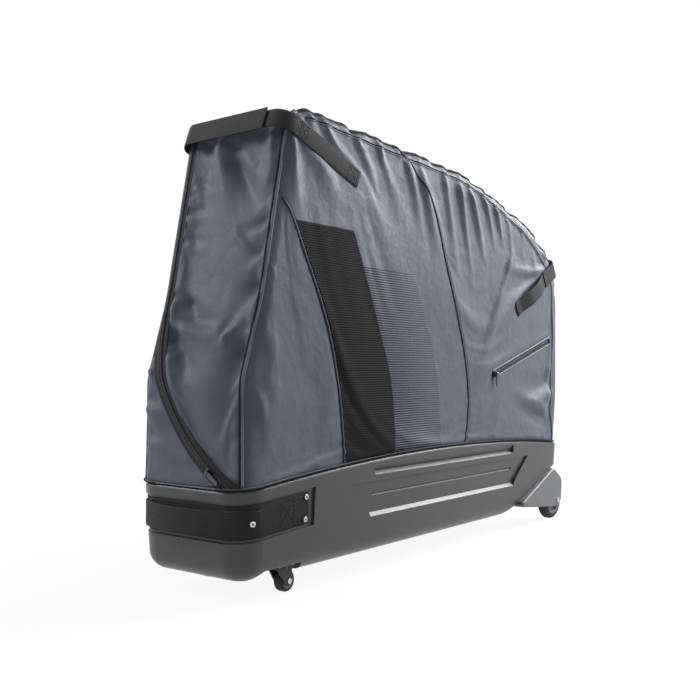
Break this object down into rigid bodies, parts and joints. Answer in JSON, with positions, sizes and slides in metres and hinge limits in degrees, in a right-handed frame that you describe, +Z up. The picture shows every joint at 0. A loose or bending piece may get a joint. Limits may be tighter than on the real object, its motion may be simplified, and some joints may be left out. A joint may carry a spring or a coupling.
{
  "type": "bike travel case",
  "caption": "Soft-sided bike travel case on a moulded wheeled tray, with a side that unzips and swings open, a tow strap, a grab handle and a zipped pocket.",
  "frame": {"origin": "on the ground, at the middle of the case's length and width", "axes": "+Z up from the ground, -X towards the towing end, -Y towards the side that opens"},
  "size_m": [1.2679, 0.3, 0.8892],
  "materials": {
    "tray_plastic": "moulded dark grey polyethylene with a fine grain",
    "housing_plastic": "satin mid grey moulding",
    "black_plastic": "black moulded nylon",
    "core_plastic": "grey moulded nylon",
    "tyre_rubber": "smooth black tread",
    "slate_cloth": "coated slate grey nylon over thin padding",
    "dark_cloth": "black ribbed fabric",
    "lining_cloth": "dark grey lining cloth",
    "zip_tape": "woven tape with moulded coil teeth",
    "webbing": "woven black webbing",
    "pad_foam": "cloth-faced closed-cell foam",
    "stay_rod": "pultruded rod",
    "zip_metal": "dark coated die casting",
    "rivet_steel": "bright plated steel",
    "clamp_alloy": "plain extruded strip"
  },
  "bodies": {
    "case": {"base_tray": "tray_plastic", "hem_clamp": "clamp_alloy", "tow_band": "webbing", "tow_grip": "webbing", "tow_rivets": "rivet_steel", "left_caster_plate": "rivet_steel", "right_caster_plate": "rivet_steel", "left_caster_pin": "rivet_steel", "right_caster_pin": "rivet_steel", "caster_screws": "rivet_steel", "left_wheel_housing": "housing_plastic", "right_wheel_housing": "housing_plastic", "left_rear_axle": "rivet_steel", "right_rear_axle": "rivet_steel", "housing_screws": "rivet_steel", "right_wall": "slate_cloth", "front_gore": "slate_cloth", "rear_gore": "slate_cloth", "wall_zip_tape": "zip_tape", "front_tab_base": "webbing", "floor_pad": "pad_foam", "frame_cradle": "pad_foam", "hold_straps": "webbing", "right_stays": "stay_rod", "right_wheel_pocket": "lining_cloth"},
    "lid": {"left_front_panel": "slate_cloth", "left_middle_panel": "slate_cloth", "left_rear_panel": "slate_cloth", "left_overlay": "dark_cloth", "front_panel": "slate_cloth", "top_panel": "slate_cloth", "rear_panel": "slate_cloth", "lid_zip_tape": "zip_tape", "pocket_zip": "zip_tape", "pocket_pouch": "lining_cloth", "left_stays": "stay_rod", "left_wheel_pocket": "lining_cloth", "front_strap": "webbing", "rear_handle": "webbing", "rear_sleeve": "webbing"},
    "left_fork": {"left_caster_fork": "black_plastic", "left_caster_axle": "rivet_steel"},
    "left_caster_wheel": {"left_caster_core": "core_plastic", "left_caster_tyre": "tyre_rubber"},
    "left_rear_wheel": {"left_rear_core": "core_plastic", "left_rear_tyre": "tyre_rubber", "left_rear_bearings": "rivet_steel"},
    "right_fork": {"right_caster_fork": "black_plastic", "right_caster_axle": "rivet_steel"},
    "right_caster_wheel": {"right_caster_core": "core_plastic", "right_caster_tyre": "tyre_rubber"},
    "right_rear_wheel": {"right_rear_core": "core_plastic", "right_rear_tyre": "tyre_rubber", "right_rear_bearings": "rivet_steel"},
    "front_tab": {"front_tab": "webbing"},
    "main_slider": {"main_slider": "zip_metal"},
    "main_pull": {"main_pull": "zip_metal"},
    "pocket_slider": {"pocket_slider": "zip_metal"},
    "pocket_pull": {"pocket_pull": "zip_metal"}
  },
  "joints": [
    {"name": "lid_hinge", "type": "hinge", "parent": "case", "child": "lid", "pos_m": [0, -0.1425, 0.222], "axis": [1, 0, 0], "range_deg": [0, 100]},
    {"name": "front_tab_peel", "type": "hinge", "parent": "case", "child": "front_tab", "pos_m": [-0.51005, 0.10085, 0.85573], "axis": [-0.342, 0, -0.9397], "range_deg": [0, 110]},
    {"name": "main_slider_run", "type": "hinge", "parent": "case", "child": "main_slider", "pos_m": [-0.6063, -0.289, 0.5486], "axis": [1, 0, 0], "range_deg": [0, 24]},
    {"name": "main_pull_swing", "type": "hinge", "parent": "main_slider", "child": "main_pull", "pos_m": [-0.6146, -0.0533, 0.22418], "axis": [0, 0.5878, -0.809], "range_deg": [0, 150]},
    {"name": "pocket_slider_run", "type": "slide", "parent": "lid", "child": "pocket_slider", "axis": [0.9611, 0, 0.2763], "range_m": [0, 0.29]},
    {"name": "pocket_pull_swing", "type": "hinge", "parent": "pocket_slider", "child": "pocket_pull", "pos_m": [0.26329, -0.1396, 0.39203], "axis": [-1, 0, 0], "range_deg": [0, 150]},
    {"name": "left_caster_swivel", "type": "hinge", "parent": "case", "child": "left_fork", "pos_m": [-0.477, -0.0973, 0.049], "axis": [0, 0, 1], "continuous": true},
    {"name": "left_caster_roll", "type": "hinge", "parent": "left_fork", "child": "left_caster_wheel", "pos_m": [-0.464, -0.0973, 0.02], "axis": [0, 1, 0], "continuous": true},
    {"name": "left_rear_roll", "type": "hinge", "parent": "case", "child": "left_rear_wheel", "pos_m": [0.5837, -0.1219, 0.05], "axis": [0, 1, 0], "continuous": true},
    {"name": "right_caster_swivel", "type": "hinge", "parent": "case", "child": "right_fork", "pos_m": [-0.477, 0.0973, 0.049], "axis": [0, 0, 1], "continuous": true},
    {"name": "right_caster_roll", "type": "hinge", "parent": "right_fork", "child": "right_caster_wheel", "pos_m": [-0.464, 0.0973, 0.02], "axis": [0, 1, 0], "continuous": true},
    {"name": "right_rear_roll", "type": "hinge", "parent": "case", "child": "right_rear_wheel", "pos_m": [0.5837, 0.1219, 0.05], "axis": [0, 1, 0], "continuous": true}
  ]
}
